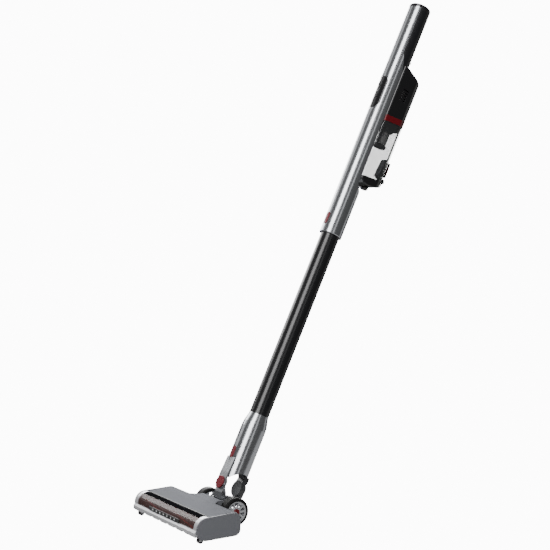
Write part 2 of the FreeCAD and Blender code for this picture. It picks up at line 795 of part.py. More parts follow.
def makeNeck():
    wide, high = d.couplingRadius, d.couplingSeam
    bore = d.nozzleRadius - d.nozzleWall
    low = d.swivelHeight + 13
    tube = ring("NeckTube", wide, bore, low, high)
    window = rod("NeckWindow", "X", d.windowRadius, -wide - past, wide + past,
                 (d.windowBack, d.swivelHeight + 1.5))
    clear = block("NeckClear", (-wide - past, wide + past), (0, wide + past),
                  (low - past, d.swivelHeight + 26))
    tube = cut("NeckBlank", tube, window, clear)
    spigot = ring("Spigot", d.nozzleRadius, bore, high - 4, d.wandLow - 3)
    face, back = -d.armFace, -(d.armFace - d.armThick)
    arm = fuse("Arm", rod("ArmBoss", "Y", d.bossRadius, face, back, (0, d.swivelHeight)),
               block("ArmPlate", (-d.bossRadius, d.bossRadius), (face, back),
                     (d.swivelHeight, d.swivelHeight + 22)))
    top = d.swivelHeight + 22
    blend = prism("ArmBlend", "YZ", [(face, top - 6), (back, top - 6), (back, top),
                                     (-20, top + 16), (-24, top + 30), (face + 1, top + 12)],
                  -d.bossRadius, d.bossRadius)
    blend = cut("ArmBlended", blend, rod("ArmBore", "Z", wide - 2, low - 20, high))
    hole = rod("ArmHole", "Y", d.pinRadius + d.fit, -40, 0, (0, d.swivelHeight))
    neck = cut("Neck", fuse("NeckFork", tube, spigot, arm, blend), hole,
               *pocket("Lower", wide, d.lowerButton, d.lowerButtonHalf))
    keep("neck_fork", neck, stickFrame)
    keep("head_release_button", button("LowerButton", wide, d.lowerButton, d.lowerButtonHalf),
         stickFrame)

    split, front, axis = d.ductSplit - d.gap, d.ductFront, d.swivelHeight
    high = axis + 26
    disc = rod("NeckDisc", "Y", d.ductRadius, front, split, (0, axis))
    chute = prism("NeckChute", "YZ", [
        (front - 2, high + 4), (front + 3, high - 6), (front, axis + 10), (front, axis - 4),
        (split, axis - 4), (split, axis + 8), (d.ductBack, axis + 14), (d.ductBack, high - 2),
        (d.ductBack - 3, high + 4)], -11, 11)
    rim = rod("ElbowSpace", "Y", d.ductRadius + d.gap, split - 0.01, 40, (0, axis))
    hollow = rod("NeckDiscBore", "Y", 10.5, front + 1.8, split + past, (0, axis))
    shaft = prism("NeckShaft", "YZ", [
        (front + 2, high + 8), (front + 5, high - 6), (front + 2, axis + 10), (front + 2, axis),
        (split + 1, axis), (split + 1, axis + 14), (d.ductBack - 2, axis + 18),
        (d.ductBack - 4, high + 8)], -9, 9)
    trim = ring("NeckTrim", 40, bore - 0.1, high - 0.1, high + 8)
    keep("neck_duct", cut("NeckDuct", fuse("NeckDuctBlank", disc, chute), rim, hollow, shaft,
                          trim), stickFrame)


def makeYoke():
    face, inner = -d.armFace, -(d.armFace - d.armThick) + d.gap
    rear = inner + 3.7
    axis = (-d.pivotAhead, 0)
    height = d.swivelHeight
    ear = rod("Ear", "Y", d.bossRadius - 0.5, inner, rear, (0, height))
    foot = prism("Foot", "YZ", [
        (-15.5, 5), (-20.5, 12), (inner, 24), (inner, 38), (rear, 36), (rear + 1, 33),
        (-12.4, 26), (-9, 14), (-9, 5)], -13, 13)
    boss = rod("BossSpace", "Y", d.bossRadius + 0.5, face - 3, inner - 0.01, (0, height))
    barrel = rod("BarrelSpace", "X", d.barrelRadius + 0.1, -30, 30, axis)
    hole = rod("EarHole", "Y", d.pinRadius + 0.02, -40, 0, (0, height))
    yoke = cut("Yoke", fuse("YokeBlank", foot, ear), boss, barrel, hole)
    keep("yoke", yoke, stickFrame)
    pin = fuse("SwivelPin", rod("PinShank", "Y", d.pinRadius, face - 0.2, rear, (0, height)),
               rod("PinHead", "Y", 5, rear, rear + 2, (0, height)))
    keep("swivel_pin", pin, stickFrame)
    cap = rod("Cap", "Y", d.capRadius, face - 2.4, face - 0.3, (0, height))
    cap = roundOff("Cap", cap, 0.9, lambda edge: edge.BoundBox.YMax < face.value - 2)
    keep("pivot_cap", cap, stickFrame)

    split, back = d.ductSplit, d.ductBack
    disc = turned("ElbowDisc", [(0, split), (d.ductRadius, split), (d.ductRadius, back - 3),
                                (d.ductRadius - 1, back - 0.9), (d.ductRadius - 3, back),
                                (0, back)], axis="Y", at=(0, 0, height))
    elbow = prism("Elbow", "YZ", [
        (-8.8, 4), (10, -4), (20, 10), (back, 30), (back, height), (split, height),
        (split, height - d.ductRadius), (12, 24), (-8.8, 22)], -12, 12)
    barrel = rod("Barrel", "X", d.barrelRadius, -d.barrelHalf, d.barrelHalf, axis)
    bore = rod("BarrelBore", "X", d.axleRadius + d.fit, -30, 30, axis)
    throat = rod("ElbowThroat", "Y", 11, split - past, split + 7, (0, height))
    elbow = cut("ElbowDuct", fuse("ElbowBlank", disc, elbow, barrel), bore, throat)
    keep("elbow_duct", elbow, stickFrame)


# ---- floor head ----------------------------------------------------------------------

axle = (0, 0)
arc = (d.arcBack, d.arcHeight)
brushAxis = (d.brushBack, d.brushHeight)
sideIn = d.headHalf - d.capThick


def makeCover():
    wall, high = d.coverWall, d.headHigh
    low = d.headLow
    line = [
        (d.coverFront, d.coverFrontHigh),
        (d.coverFront + 34, high),
        (d.headRear, high),
        (d.headRear, low),
        (d.headRear - 16, low),
        (d.headRear - 16, low + wall),
        (d.headRear - wall, low + wall),
        (d.headRear - wall, high - wall),
        (d.coverFront + 34, high - wall),
        (d.coverFront, d.coverFrontHigh - wall),
    ]
    side = sideIn - 0.1
    shell = prism("Cover", "YZ", line, -side, side,
                  rounds=[((2,), d.rearCorner), ((7,), d.rearCorner - wall),
                          ((3,), d.rearFoot), ((6,), d.rearFoot - wall)])
    low = low + 3
    roof = prism("NeckRoof", "XY", [
        (-d.neckHalf - 13, d.headRear - 12), (-d.neckHalf, d.headRear + 2),
        (-d.neckHalf, -19), (d.neckHalf, -19), (d.neckHalf, d.headRear + 2),
        (d.neckHalf + 13, d.headRear - 12)], high - wall, high)
    cheek = [(d.headRear - 1, low), (4, low), (11, -4), (6, 9), (-19, high),
             (d.headRear - 8, high)]
    cheeks = [prism(f"Cheek{side}", "YZ", cheek, *((1.3 + d.earOuter - 1.2, d.neckHalf) if
              side > 0 else (-d.neckHalf, -(1.3 + d.earOuter - 1.2)))) for side in (-1, 1)]
    recess = rod("BarrelRecess", "X", d.recessRadius, -d.earInner, d.earInner, axle)
    duct = block("AirWay", (-18, 18), (d.headRear - 4, d.headRear + 2), (-15, 8))
    bores = [rod(f"CheekBore{side}", "X", d.axleRadius + 0.5, side * 35 - 4, side * 35 + 4,
                 axle) for side in (-1, 1)]
    tongue = block("TongueSpace", (-d.earOuter - 0.3, d.earOuter + 0.3),
                   (d.headRear - 17, 12), (d.headLow - past, d.headLow + 3.1))
    cover = cut("CoverOpen", fuse("CoverBlank", shell, roof, *cheeks), recess, duct, tongue,
                *bores)
    keep("top_cover", cover, headFrame)


def screwHoles(name, radius, low, high):
    """The base's fixing points: four near the corners and two on the neck."""
    spots = [(x, y) for x in (-96, 96) for y in (-72, -54)] + [(-29.8, -26), (29.8, -26)]
    return [rod(f"{name}{n}", "Z", radius, low, high, spot) for n, spot in enumerate(spots)]


def makeBase():
    low = d.headLow
    plate = block("BasePlate", (-sideIn + 0.1, sideIn - 0.1), (-79, d.headRear - 16.2),
                  (low, low + 2.8))
    tongue = block("BaseTongue", (-d.earOuter, d.earOuter), (d.headRear - 18, 6),
                   (low, low + 2.8))
    weir = block("ChamberWall", (-105, 105), (-79, -77), (low + 1, d.coverFrontHigh - 4.5))
    ears = []
    for side in (-1, 1):
        low_x, high_x = ((d.earInner, d.earOuter) if side > 0
                         else (-d.earOuter, -d.earInner))
        ears.append(rod(f"Ear{side}", "X", 11, low_x, high_x, axle))
        ears.append(prism(f"EarWeb{side}", "YZ", [
            (d.headRear + 1, low + 1), (9, low + 1), (11, -2), (0, 11), (-14, 14),
            (d.headRear + 1, 14)], low_x, high_x))
    bores = [rod(f"EarBore{side}", "X", d.axleRadius + 0.02, side * 30 - 8, side * 30 + 8, axle)
             for side in (-1, 1)]
    way = block("WeirWay", (-18, 18), (-80, -76), (-15, 8))
    base = cut("Base", fuse("BaseBlank", plate, tongue, weir, *ears), *bores, way,
               *screwHoles("BaseHole", 2.6, low - past, low + 4))
    keep("base_plate", base, headFrame)
    screws = screwHoles("BaseScrew", 2.5, low, low + 3.4)
    keep("base_screws", fuse("BaseScrews", screws[0], *screws[1:]), headFrame)
    end = d.wheelOuter - 2.8
    keep("wheel_axle", rod("Axle", "X", d.axleRadius, -end, end, axle), headFrame)
    caps = [roundOff(f"AxleCap{side}",
                     rod(f"AxleCapRod{side}", "X", 6.4, *((end + 0.05, end + 2.2) if side > 0
                                                          else (-end - 2.2, -end - 0.05)), axle),
                     0.5, lambda edge: edge.BoundBox.XLength < 0.01) for side in (-1, 1)]
    keep("axle_caps", fuse("AxleCaps", *caps), headFrame)


def makeFrame():
    """Light frame round the window: an arc at each end, the front lip and its feet."""
    pieces = []
    spaces = []
    side = sideIn - 0.1
    for hand in (-1, 1):
        low, high = (d.frameInner, side) if hand > 0 else (-side, -d.frameInner)
        hoop = cut(f"Hoop{hand}", rod(f"HoopRod{hand}", "X", d.arcRadius, low, high, arc),
                   rod(f"HoopBore{hand}", "X", d.arcRadius - 2.6, low - past, high + past, arc),
                   block(f"HoopBack{hand}", (low - past, high + past),
                         (d.coverFront - 0.1, 0), (-40, 40)))
        pieces.append(hoop)
        pieces.append(block(f"FrontFoot{hand}", (low, high), (d.rollerBack - 3.5, -107),
                            (d.headLow, d.headLow + 9)))
        mid = hand * 112
        spaces.append(rod(f"RollerSpace{hand}", "X", d.rollerRadius + 0.6, mid - 3.8,
                          mid + 3.8, rollerAxis))
        spaces.append(rod(f"RollerHole{hand}", "X", 1.5 + d.fit, mid - 4.6, mid + 4.6,
                          rollerAxis))
    lip = prism("Lip", "YZ", [
        (d.lipBack, d.lipLow + 1), (d.lipFront + 2.4, d.lipLow), (d.lipFront, d.lipLow + 2.6),
        (d.lipFront, d.lipHigh - 3.4), (d.lipFront + 3.2, d.lipHigh), (d.lipBack, d.lipHigh)],
        -side, side)
    notches = [rod(f"LipNotch{n}", "Y", 6.5, -130, -118, (x, d.lipLow - 2.6))
               for n, x in enumerate(range(-75, 76, 30))]
    frame = cut("FrameOpen", fuse("FrameBlank", lip, *pieces), *spaces, *notches)
    keep("front_frame", frame, headFrame)
    for label, hand in (("front_roller_left", 1), ("front_roller_right", -1)):
        mid = hand * 112
        wheel = fuse(label, rod(label + "Tread", "X", d.rollerRadius, mid - 3.4, mid + 3.4,
                                rollerAxis),
                     rod(label + "Pin", "X", 1.5, mid - 4.5, mid + 4.5, rollerAxis))
        keep(label, wheel, headFrame)


rollerAxis = (d.rollerBack, d.rollerRadius - d.wheelRadius)


def makeWindow():
    reach = d.frameInner - 0.2
    skin = cut("WindowSkin", rod("WindowRod", "X", d.arcRadius - 0.2, -reach, reach, arc),
               rod("WindowBore", "X", d.arcRadius - d.windowSkin, -reach - past, reach + past,
                   arc))
    strip = d.coverFront - 3.2
    face = prism("WindowFace", "YZ", [(strip, d.lipHigh + 0.2), (strip, 30), (-130, 30),
                                      (-130, d.lipHigh + 0.2)], -reach, reach)
    keep("brush_window", common("Window", skin, face), headFrame)
    high = d.coverFrontHigh
    seal = prism("Seal", "YZ", [(strip + 0.1, high - 3.4), (strip + 0.1, high + 0.3),
                                (d.coverFront - 0.1, high + 0.3),
                                (d.coverFront - 0.1, high - 3.4)], -reach, reach)
    keep("window_seal", seal, headFrame)
    led = prism("Led", "YZ", [(-122.75, d.lipHigh + 0.3), (-122.75, d.lipHigh + 7.4),
                              (-123.8, d.lipHigh + 7.4), (-124.6, d.lipHigh + 5.6),
                              (-124.6, d.lipHigh + 0.3)], -57, 57)
    keep("led_module", led, headFrame)


def makeEndCaps():
    corners = [(d.headFront, d.arcHeight + d.arcRadius), (d.headFront, d.headLow),
               (d.headRear, d.headLow), (d.headRear, d.headHigh)]
    for label, hand in (("end_cap_left", 1), ("end_cap_right", -1)):
        low, high = (sideIn, d.headHalf) if hand > 0 else (-d.headHalf, -sideIn)
        plate = prism(label + "Plate", "YZ", corners, low, high,
                      rounds=[((0, 1), d.arcRadius - 0.1), ((3,), d.rearCorner), ((2,), d.rearFoot)])
        outer = d.headHalf.value - 0.01
        plate = roundOff(label, plate, 0.8,
                         lambda edge: min(abs(edge.BoundBox.XMin), abs(edge.BoundBox.XMax))
                         > outer)
        pin = rod(label + "Pin", "X", 3, *((d.brushHalf - 4, sideIn + 0.5) if hand > 0
                                           else (-sideIn - 0.5, -d.brushHalf + 4)), brushAxis)
        keep(label, fuse(label + "Pinned", plate, pin), headFrame)


def makeBrush():
    half = d.brushHalf
    core = fuse("CoreBlank", rod("Core", "X", d.coreRadius, -half, half, brushAxis),
                rod("CorePulley", "X", d.brushPulley, d.beltMid - 2.5, -half, brushAxis))
    core = cut("BrushCore", core, rod("CoreBore", "X", 3 + d.fit, -120, 120, brushAxis))
    keep("brush_core", core, headFrame)
    fibre = ring("Fibre", d.brushRadius, d.coreRadius + 0.1, -half + 1, half - 1, axis="X",
                 at=(0, d.brushBack, d.brushHeight))
    keep("brush_fibre", fibre, headFrame)

    motorAxis = (d.brushMotorBack, d.brushMotorHeight)
    low, high = -96, -44
    motor = cut("BrushMotor", rod("BrushMotorCan", "X", d.brushMotorRadius, low, high,
                                  motorAxis),
                rod("BrushMotorBore", "X", 1.5 + d.fit, low - past, low + 14, motorAxis))
    keep("brush_motor", motor, headFrame)
    pulley = fuse("MotorPulley", rod("Pulley", "X", d.motorPulley, d.beltMid - 2.5,
                                     d.beltMid + 2.5, motorAxis),
                  rod("PulleyShaft", "X", 1.5, d.beltMid, low + 12, motorAxis))
    keep("motor_pulley", pulley, headFrame)
    keep("drive_belt", beltLoop(), headFrame)


def beltLoop():
    """A flat belt round the two pulleys, with straight runs tangent to both."""
    start = Vector(0, d.brushBack.value, d.brushHeight.value)
    end = Vector(0, d.brushMotorBack.value, d.brushMotorHeight.value)
    reach = (end - start).Length

    def loop(grow):
        big = d.brushPulley.value + grow
        small = d.motorPulley.value + grow
        rise = math.asin((big - small) / reach)
        spots = []
        for centre, radius in ((start, big), (end, small)):
            for side in (1, -1):
                spots.append(centre + Vector(0, radius * math.sin(rise),
                                             side * radius * math.cos(rise)))
        bigTop, bigFoot, smallTop, smallFoot = spots
        edges = [
            Part.Arc(bigTop, start - Vector(0, big, 0), bigFoot).toShape(),
            Part.LineSegment(bigFoot, smallFoot).toShape(),
            Part.Arc(smallFoot, end + Vector(0, small, 0), smallTop).toShape(),
            Part.LineSegment(smallTop, bigTop).toShape(),
        ]
        return Part.Face(Part.Wire(edges)).extrude(Vector(4, 0, 0))

    belt = doc.addObject("Part::Feature", "DriveBelt")
    shape = loop(1.2).cut(loop(0.05))
    shape.translate(Vector(d.beltMid.value - 2, 0, 0))
    belt.Shape = shape
    return belt


# ---- rear wheels -----------------------------------------------------------------------


def makeWheels():
    for hand, name in ((1, "left"), (-1, "right")):
        low, high = ((d.wheelInner, d.wheelOuter) if hand > 0
                     else (-d.wheelOuter, -d.wheelInner))
        tyre = turned(f"Tyre{name}", [
            (d.rimRadius, low + 1), (d.rimRadius + 1, low), (d.wheelRadius - 3.4, low),
            (d.wheelRadius - 0.9, low + 1.6), (d.wheelRadius, low + 4.2),
            (d.wheelRadius, high - 4.2), (d.wheelRadius - 0.9, high - 1.6),
            (d.wheelRadius - 3.4, high), (d.rimRadius + 1, high), (d.rimRadius, high - 1)],
            axis="X")
        keep(f"tyre_{name}", tyre, headFrame)

        rim = d.rimRadius - 0.02
        barrel = ring(f"Rim{name}", rim, rim - 2.4, low + 1, high - 1, axis="X")
        boss = ring(f"Boss{name}", 7.6, d.axleRadius + d.fit, low + 2, high - 2, axis="X")
        face = (high - 5.5, high - 2) if hand > 0 else (low + 2, low + 5.5)
        spoke = newBody(f"Spokes{name}")
        sketch = newSketch(spoke, "YZ", f"SpokeOutline{name}", face[0])
        drawOutline(sketch, [(6, -2.4), (rim - 1.6, -1.5), (rim - 1.6, 1.5), (6, 2.4)])
        arm = pad(spoke, sketch, face[1] - face[0])
        fan = spoke.newObject("PartDesign::PolarPattern", f"SpokeFan{name}")
        fan.Originals = [arm]
        fan.Axis = (sketch, ["N_Axis"])
        fan.Angle = 360
        fan.Occurrences = 10
        spoke.Tip = fan
        doc.recompute()
        seat = (high - 3, high) if hand > 0 else (low, low + 3)
        hub = cut(f"HubOpen{name}", fuse(f"Hub{name}", barrel, boss, spoke),
                  rod(f"CapSeat{name}", "X", 6.7, *seat, axle))
        keep(f"hub_{name}", hub, headFrame)


makeSpine()
makeGrip()
makeBattery()
makePanel()
makeIntake()
makeHousing()
makeCup()
makeWand()
makeNeck()
makeYoke()
makeCover()
makeBase()
makeFrame()
makeWindow()
makeEndCaps()
makeBrush()
makeWheels()
doc.recompute()

# ---- checks and export -------------------------------------------------------------------

for thing in doc.Objects:
    bad = {"Invalid", "Error"} & set(thing.State)
    if bad:
        raise RuntimeError(f"{thing.Label} is {', '.join(bad)}")
for label, thing in nodes.items():
    shape = thing.Shape
    if shape.isNull() or not shape.isValid() or not shape.Solids:
        raise RuntimeError(f"{label} has no valid solid")

os.makedirs("parts", exist_ok=True)
for label, thing in nodes.items():
    thing.Shape.exportStep(f"parts/{label}.step")
    print(f"{label}: {len(thing.Shape.Solids)} solid(s), {thing.Shape.Volume:.0f} mm3")
print(len(nodes), "nodes")
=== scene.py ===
import json
import math

import bmesh
import bpy
from mathutils import Matrix, Vector


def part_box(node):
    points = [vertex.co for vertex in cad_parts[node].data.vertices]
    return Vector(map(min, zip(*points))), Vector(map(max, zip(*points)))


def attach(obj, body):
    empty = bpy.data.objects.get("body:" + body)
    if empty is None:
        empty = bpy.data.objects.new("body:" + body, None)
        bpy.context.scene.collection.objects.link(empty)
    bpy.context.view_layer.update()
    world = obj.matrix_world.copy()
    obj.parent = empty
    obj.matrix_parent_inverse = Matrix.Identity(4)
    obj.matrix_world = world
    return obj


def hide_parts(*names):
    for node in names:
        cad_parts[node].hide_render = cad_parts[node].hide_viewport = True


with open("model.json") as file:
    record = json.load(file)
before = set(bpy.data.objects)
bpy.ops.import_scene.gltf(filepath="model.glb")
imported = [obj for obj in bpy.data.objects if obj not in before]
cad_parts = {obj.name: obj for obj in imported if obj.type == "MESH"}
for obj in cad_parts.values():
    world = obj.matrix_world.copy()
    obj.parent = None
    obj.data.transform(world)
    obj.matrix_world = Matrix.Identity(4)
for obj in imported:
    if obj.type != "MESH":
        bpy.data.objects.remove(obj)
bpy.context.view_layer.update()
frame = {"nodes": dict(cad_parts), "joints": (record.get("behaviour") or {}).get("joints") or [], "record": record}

nodes = frame["nodes"]
record = frame["record"]
joints = {joint["name"]: joint for joint in frame["joints"]}
bodyOf = {node: body for body, members in record["behaviour"]["bodies"].items()
          for node in members}

up = -Vector(joints["wand_slide"]["axis"])  # up the stick
under = Vector(joints["cup_slide"]["axis"])  # towards its underside
across = Vector((1, 0, 0))
wheelAxis = Vector((0, *joints["head_pitch"]["pos_m"][1:]))
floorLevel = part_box("tyre_left")[0].z
print("frame loaded", len(nodes), "nodes")


# Node trees written as expressions


class Wire:  # one output socket, usable in sums and products
    def __init__(self, tree, socket):
        self.tree = tree
        self.socket = socket

    def maths(self, operation, *others, swap=False):
        node = self.tree.nodes.new("ShaderNodeMath")
        node.operation = operation
        values = [*others, self] if swap else [self, *others]
        for slot, value in zip(node.inputs, values):
            feed(self.tree, slot, value)
        return Wire(self.tree, node.outputs[0])

    def __add__(self, other):
        return self.maths("ADD", other)

    def __sub__(self, other):
        return self.maths("SUBTRACT", other)

    def __mul__(self, other):
        return self.maths("MULTIPLY", other)

    def __radd__(self, other):
        return self.maths("ADD", other)

    def __rmul__(self, other):
        return self.maths("MULTIPLY", other)

    def __rsub__(self, other):
        return self.maths("SUBTRACT", other, swap=True)

    def __gt__(self, other):
        return self.maths("GREATER_THAN", other)


def feed(tree, slot, value):
    if isinstance(value, Wire):
        tree.links.new(value.socket, slot)
    else:
        slot.default_value = value


class Tree:  # any node tree: a node takes its settings first, then its inputs by socket name
    def __init__(self, tree):
        self.tree = tree

    def node(self, kind, output=0, settings=None, **inputs):
        made = self.tree.nodes.new(kind)
        for key, value in (settings or {}).items():
            setattr(made, key, value)
        for key, value in inputs.items():
            feed(self.tree, made.inputs[key.replace("_", " ")], value)
        return Wire(self.tree, made.outputs[output])


class Finish(Tree):  # a material
    def __init__(self, name):
        self.material = bpy.data.materials.new(name)
        self.material.use_nodes = True
        super().__init__(self.material.node_tree)
        self.surface = self.tree.nodes["Principled BSDF"]

    def noise(self, scale, detail=2.0):
        spot = self.node("ShaderNodeTexCoord", output="Object")
        return self.node("ShaderNodeTexNoise", Vector=spot, Scale=scale, Detail=detail)

    def mixed(self, amount, one, two):
        made = self.tree.nodes.new("ShaderNodeMix")
        made.data_type = "RGBA"
        for slot, value in (("Factor", amount), (6, one), (7, two)):
            feed(self.tree, made.inputs[slot], value)
        return Wire(self.tree, made.outputs[2])

    def bump(self, height, strength, distance):
        return self.node("ShaderNodeBump", Height=height, Strength=strength, Distance=distance)

    def set(self, **inputs):
        for key, value in inputs.items():
            feed(self.tree, self.surface.inputs[key.replace("_", " ")], value)
        return self


wear = {"cloud": 9.0, "cloudTone": 0.5, "cloudRough": 0.04, "dust": 260.0, "dustRough": 0.05,
        "coatRough": 0.05, "grainDepth": 0.0002}


def plastic(name, colour, rough, coat=0.0, metal=0.0, vary=0.06, shine=0.5, grain=0.0,
            grainScale=900.0):
    finish = Finish(name)
    cloud = finish.noise(wear["cloud"])  # slow unevenness of the sheen
    dust = finish.noise(wear["dust"], 3.0)  # fine wear and dust
    tone = finish.mixed(cloud * wear["cloudTone"], (*colour, 1),
                        (*[part * (1 - vary) for part in colour], 1))
    finish.set(Base_Color=tone, Metallic=metal, Specular_IOR_Level=shine, Coat_Weight=coat,
               Coat_Roughness=wear["coatRough"],
               Roughness=(rough + (cloud - 0.5) * wear["cloudRough"]
                          + (dust - 0.5) * wear["dustRough"]))
    if grain:
        finish.set(Normal=finish.bump(finish.noise(grainScale, 1.0), grain,
                                      wear["grainDepth"]))
    return finish


def clear(name, colour, rough, cover):  # see-through plastic; cover is how much one face hides
    finish = Finish(name)
    cloud = finish.noise(30.0)
    tone = finish.mixed(cloud, (*colour, 1), (*[part * 0.85 for part in colour], 1))
    finish.set(Base_Color=tone, Roughness=rough + cloud * 0.02, Alpha=cover + cloud * 0.03)
    return finish


cup = {"colour": (0.05, 0.052, 0.055), "rough": 0.05, "cover": 0.4}


def paint(finish, *names):
    for name in names:
        mesh = nodes[name].data
        mesh.materials.clear()
        mesh.materials.append(finish.material)
    print("finish", finish.material.name, "on", len(names), "nodes")


window = {"tint": (0.1, 0.055, 0.052), "rough": 0.05, "cover": 0.3, "bandDepth": 0.0016,
          "band": (0.005, 0.005, 0.006, 1), "bandRough": 0.6}


def bandedWindow():  # the clear window, with a matt black band along its top edge
    finish = clear("windowClear", window["tint"], window["rough"], window["cover"])
    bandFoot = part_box("brush_window")[1].z - window["bandDepth"]
    spot = finish.node("ShaderNodeTexCoord", output="Object")
    height = finish.node("ShaderNodeSeparateXYZ", output="Z", Vector=spot)
    darkBand = finish.node("ShaderNodeBsdfPrincipled", Base_Color=window["band"],
                          Roughness=window["bandRough"], Specular_IOR_Level=0.0)
    blend = finish.tree.nodes.new("ShaderNodeMixShader")
    feed(finish.tree, blend.inputs[0], height > bandFoot)
    feed(finish.tree, blend.inputs[1], Wire(finish.tree, finish.surface.outputs[0]))
    feed(finish.tree, blend.inputs[2], darkBand)
    feed(finish.tree, finish.tree.nodes["Material Output"].inputs["Surface"],
         Wire(finish.tree, blend.outputs[0]))
    return finish


finishes = {  # how each surface looks, and the nodes that carry it
    "silverLacquer": (dict(colour=(0.42, 0.43, 0.45), rough=0.2, metal=0.92, vary=0.02),
                      "front_shell rear_shell wand_upper_collar wand_lower_collar neck_fork yoke"),
    "blackGloss": (dict(colour=(0.01, 0.01, 0.011), rough=0.16),
                   "handle_end_cap motor_housing display_panel cup_lid release_slider "
                   "cup_bracket power_button mode_button"),
    "blackSatin": (dict(colour=(0.012, 0.012, 0.014), rough=0.34, shine=0.4, grain=0.12),
                   "grip_shell"),
    "blackTube": (dict(colour=(0.01, 0.01, 0.011), rough=0.24, shine=0.45), "wand_tube"),
    "coverGrey": (dict(colour=(0.145, 0.149, 0.162), rough=0.5, shine=0.0, grain=0.1),
                  "top_cover"),
    "endGrey": (dict(colour=(0.195, 0.2, 0.218), rough=0.5, shine=0.15, grain=0.1),
                "end_cap_left end_cap_right"),
    "lightFrame": (dict(colour=(0.5, 0.5, 0.52), rough=0.3, metal=0.3, shine=0.4),
                   "front_frame"),
    "ductGrey": (dict(colour=(0.04, 0.042, 0.045), rough=0.35),
                 "neck_duct intake_duct air_guide"),
    "elbowGrey": (dict(colour=(0.06, 0.062, 0.066), rough=0.3), "elbow_duct"),
    "redGloss": (dict(colour=(0.14, 0.012, 0.02), rough=0.35, shine=0.3),
                 "wand_release_button head_release_button pivot_cap"),
    "redDark": (dict(colour=(0.13, 0.005, 0.009), rough=0.3, shine=0.3),
                "collar_ring axle_caps release_inlay"),
    "darkPlastic": (dict(colour=(0.012, 0.012, 0.013), rough=0.45, grain=0.1),
                    "base_plate filter_frame brush_core front_roller_left front_roller_right "
                    "led_module"),
    "steel": (dict(colour=(0.5, 0.5, 0.5), rough=0.3, metal=1.0, grain=0.1, grainScale=1500.0),
              "charging_socket shell_screws suction_motor lid_hinge_pin swivel_pin base_screws "
              "wheel_axle brush_motor impeller"),
    "rubber": (dict(colour=(0.007, 0.007, 0.007), rough=0.6, shine=0.12, grain=0.3,
                    grainScale=1400.0),
               "cup_seal window_seal drive_belt tyre_left tyre_right"),
    "spokeSilver": (dict(colour=(0.55, 0.56, 0.58), rough=0.25, metal=0.7),
                    "hub_left hub_right"),
    "filterFabric": (dict(colour=(0.8, 0.8, 0.79), rough=0.85, grain=0.5, grainScale=1800.0),
                     "filter_element exhaust_filter"),
    "blueSleeve": (dict(colour=(0.02, 0.09, 0.25), rough=0.35), "battery_cells"),
    "boardGreen": (dict(colour=(0.01, 0.09, 0.03), rough=0.35), "control_board"),
    "nylon": (dict(colour=(0.6, 0.6, 0.55), rough=0.45), "motor_pulley"),
    "bristleRed": (dict(colour=(0.22, 0.012, 0.012), rough=0.6), ""),
    "sleeveDark": (dict(colour=(0.03, 0.012, 0.012), rough=0.8, grain=0.6, grainScale=1600.0),
                   ""),
    "lampLens": (dict(colour=(0.75, 0.76, 0.78), rough=0.15, coat=0.5), ""),
}
made = {name: plastic(name, **look) for name, (look, members) in finishes.items()}
for name, (look, members) in finishes.items():
    paint(made[name], *members.split())
paint(clear("cupClear", **cup), "dust_cup")
paint(bandedWindow(), "brush_window")


# Pieces that repeat along or around an axis


def patternTree(name, stub, finish):  # stub makes one piece, its outward direction along +X
    tree = bpy.data.node_groups.new(name, "GeometryNodeTree")
    for label, kind in (("Count", "NodeSocketInt"), ("Radius", "NodeSocketFloat"),
                        ("Rise", "NodeSocketFloat"), ("Turn", "NodeSocketFloat"),
                        ("Start", "NodeSocketFloat")):
        tree.interface.new_socket(label, in_out="INPUT", socket_type=kind)
    tree.interface.new_socket("Mesh", in_out="OUTPUT", socket_type="NodeSocketGeometry")
    maker = Tree(tree)
    entry = tree.nodes.new("NodeGroupInput")
    count, radius, rise, turn, start = [Wire(tree, entry.outputs[label]) for label in
                                        ("Count", "Radius", "Rise", "Turn", "Start")]
    line = maker.node("GeometryNodeMeshLine", Count=count)
    index = maker.node("GeometryNodeInputIndex")
    angle = index * turn + start
    spot = maker.node("ShaderNodeCombineXYZ", X=angle.maths("COSINE") * radius,
                      Y=angle.maths("SINE") * radius, Z=index * rise)
    placed = maker.node("GeometryNodeSetPosition", Geometry=line, Position=spot)
    facing = maker.node("ShaderNodeCombineXYZ", Z=angle)
    copies = maker.node("GeometryNodeInstanceOnPoints", Points=placed, Instance=stub(maker),
                        Rotation=facing)
    real = maker.node("GeometryNodeRealizeInstances", Geometry=copies)
    coated = maker.node("GeometryNodeSetMaterial", Geometry=real, Material=finish.material)
    leave = tree.nodes.new("NodeGroupOutput")
    tree.links.new(coated.socket, leave.inputs[0])
    return tree


def settle(name, shape, finish, place, node, smooth=False):  # it rides with a node of the CAD
    shape.transform(place)
    mesh = bpy.data.meshes.new(name)
    shape.to_mesh(mesh)
    shape.free()
    if smooth:
        mesh.shade_smooth()
    mesh.materials.append(made[finish].material)
    piece = bpy.data.objects.new(name, mesh)
    bpy.context.scene.collection.objects.link(piece)
    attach(piece, bodyOf[node])
    print("piece", name, len(mesh.polygons), "faces")
    return piece


def growRows(name, stub, finish, rows, place, node):
    tree = patternTree(name + "Tree", stub, made[finish])
    sockets = {item.name: item.identifier for item in tree.interface.items_tree
               if item.in_out == "INPUT"}
    joined = bmesh.new()
    for row in rows:
        seed = bpy.data.objects.new(name + "Seed", bpy.data.meshes.new(name + "Seed"))
        bpy.context.scene.collection.objects.link(seed)
        grower = seed.modifiers.new("grow", "NODES")
        grower.node_group = tree
        for label, value in row.items():
            grower[sockets[label]] = value
        grown = seed.evaluated_get(bpy.context.evaluated_depsgraph_get())
        joined.from_mesh(bpy.data.meshes.new_from_object(grown))
        bpy.data.objects.remove(seed)
    return settle(name, joined, finish, place, node)


